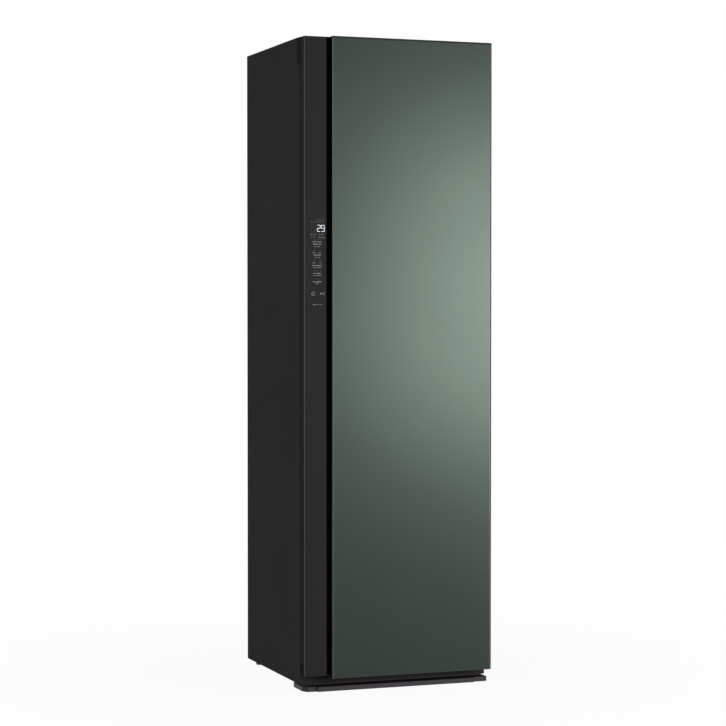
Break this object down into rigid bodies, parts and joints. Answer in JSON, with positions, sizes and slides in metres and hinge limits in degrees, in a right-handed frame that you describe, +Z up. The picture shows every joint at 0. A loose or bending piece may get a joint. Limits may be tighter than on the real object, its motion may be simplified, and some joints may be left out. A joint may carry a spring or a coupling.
{
  "type": "clothes care steam cabinet",
  "caption": "Tall free-standing steam cabinet with one full-height hinged door, a finger groove, a control strip and a moving hanger rail inside",
  "frame": {"origin": "centre of the bounding box's bottom face, on the floor under the middle of the cabinet", "axes": "+Z up, +X to the right of someone facing the door, +Y from the door to the back"},
  "size_m": [0.6, 0.596, 1.96],
  "materials": {
    "green_panel": "satin",
    "charcoal_steel": "satin",
    "door_edge": "satin",
    "control_glass": "gloss",
    "frame_plastic": "satin",
    "trim_plastic": "matte",
    "black_plastic": "matte",
    "base_plastic": "matte",
    "foot_plastic": "matte",
    "zinc_steel": "satin",
    "liner_plastic": "satin",
    "foam": "matte",
    "gasket_rubber": "matte",
    "foot_rubber": "matte",
    "hose_rubber": "matte",
    "fin_alloy": "satin",
    "cast_alloy": "matte",
    "compressor_shell": "satin",
    "copper": "satin",
    "circuit_board": "satin",
    "press_pad": "matte",
    "rail_chrome": "polished",
    "hanger_plastic": "satin",
    "shelf_plastic": "satin",
    "filter_plastic": "satin",
    "tank_plastic": "gloss"
  },
  "bodies": {
    "cabinet": {"side_panel_left": "charcoal_steel", "side_panel_right": "charcoal_steel", "corner_cap_left": "trim_plastic", "corner_cap_right": "trim_plastic", "top_panel": "charcoal_steel", "back_panel": "zinc_steel", "power_inlet": "black_plastic", "base_tray": "zinc_steel", "kick_plate": "charcoal_steel", "base_front_bar": "base_plastic", "base_corner_left": "base_plastic", "base_corner_right": "base_plastic", "rear_foot_left": "foot_plastic", "rear_foot_right": "foot_plastic", "front_frame": "frame_plastic", "inner_panel_left": "liner_plastic", "inner_panel_right": "liner_plastic", "inner_panel_back": "liner_plastic", "inner_ceiling": "liner_plastic", "chamber_floor": "liner_plastic", "tank_bay": "liner_plastic", "rail_carrier": "liner_plastic", "rail_motor": "black_plastic", "hinge_bracket_top": "zinc_steel", "hinge_bracket_bottom": "zinc_steel", "air_duct": "black_plastic", "heat_exchanger": "fin_alloy", "compressor": "compressor_shell", "refrigerant_pipe": "copper", "blower_housing": "black_plastic", "blower_motor": "black_plastic", "steam_generator": "cast_alloy", "steam_hose": "hose_rubber", "supply_pump": "black_plastic", "drain_pump": "black_plastic", "control_board_case": "black_plastic"},
    "door": {"front_panel": "green_panel", "control_strip": "control_glass", "grip_channel": "black_plastic", "door_side_left": "door_edge", "door_side_right": "door_edge", "door_cap_top": "trim_plastic", "door_cap_bottom": "trim_plastic", "door_liner": "liner_plastic", "door_core": "foam", "display_board": "circuit_board", "door_gasket": "gasket_rubber", "press_base": "press_pad"},
    "press_plate": {"press_plate": "liner_plastic"},
    "hanger_rail": {"hanger_rail": "rail_chrome"},
    "crank": {"crank_disc": "black_plastic"},
    "hanger_left": {"coat_hanger_left": "hanger_plastic"},
    "hanger_right": {"coat_hanger_right": "hanger_plastic"},
    "blower": {"blower_wheel": "black_plastic"},
    "shelf": {"shelf": "shelf_plastic"},
    "filter": {"lint_filter": "filter_plastic"},
    "supply": {"supply_tank": "tank_plastic"},
    "drain": {"drain_tank": "tank_plastic"},
    "foot_left": {"levelling_foot_left": "foot_rubber"},
    "foot_right": {"levelling_foot_right": "foot_rubber"}
  },
  "joints": [
    {"name": "door_hinge", "type": "hinge", "parent": "cabinet", "child": "door", "pos_m": [0.29, -0.264, 1], "axis": [0, 0, 1], "range_deg": [0, 110]},
    {"name": "press_hinge", "type": "hinge", "parent": "door", "child": "press_plate", "pos_m": [0.158, -0.2254, 1.22], "axis": [0, 0, -1], "range_deg": [0, 90]},
    {"name": "rail_slide", "type": "slide", "parent": "cabinet", "child": "hanger_rail", "axis": [1, 0, 0], "range_m": [-0.012, 0.012]},
    {"name": "crank_spin", "type": "hinge", "parent": "cabinet", "child": "crank", "pos_m": [0, 0, 1.87], "axis": [0, 0, 1], "continuous": true},
    {"name": "hanger_swing_left", "type": "hinge", "parent": "hanger_rail", "child": "hanger_left", "pos_m": [-0.07, 0, 1.815], "axis": [1, 0, 0], "range_deg": [-10, 10]},
    {"name": "hanger_swing_right", "type": "hinge", "parent": "hanger_rail", "child": "hanger_right", "pos_m": [0.07, 0, 1.815], "axis": [1, 0, 0], "range_deg": [-10, 10]},
    {"name": "blower_spin", "type": "hinge", "parent": "cabinet", "child": "blower", "pos_m": [0.036, 0.086, 0.37], "axis": [0, 0, 1], "continuous": true},
    {"name": "shelf_lift", "type": "slide", "parent": "cabinet", "child": "shelf", "axis": [0, 0, 1], "range_m": [0, 0.08]},
    {"name": "filter_lift", "type": "slide", "parent": "cabinet", "child": "filter", "axis": [0, 0, 1], "range_m": [0, 0.06]},
    {"name": "supply_slide", "type": "slide", "parent": "cabinet", "child": "supply", "axis": [0, -1, 0], "range_m": [0, 0.018]},
    {"name": "drain_slide", "type": "slide", "parent": "cabinet", "child": "drain", "axis": [0, -1, 0], "range_m": [0, 0.018]},
    {"name": "foot_screw_left", "type": "slide", "parent": "cabinet", "child": "foot_left", "axis": [0, 0, -1], "range_m": [0, 0.012]},
    {"name": "foot_screw_right", "type": "slide", "parent": "cabinet", "child": "foot_right", "axis": [0, 0, -1], "range_m": [0, 0.012]}
  ]
}
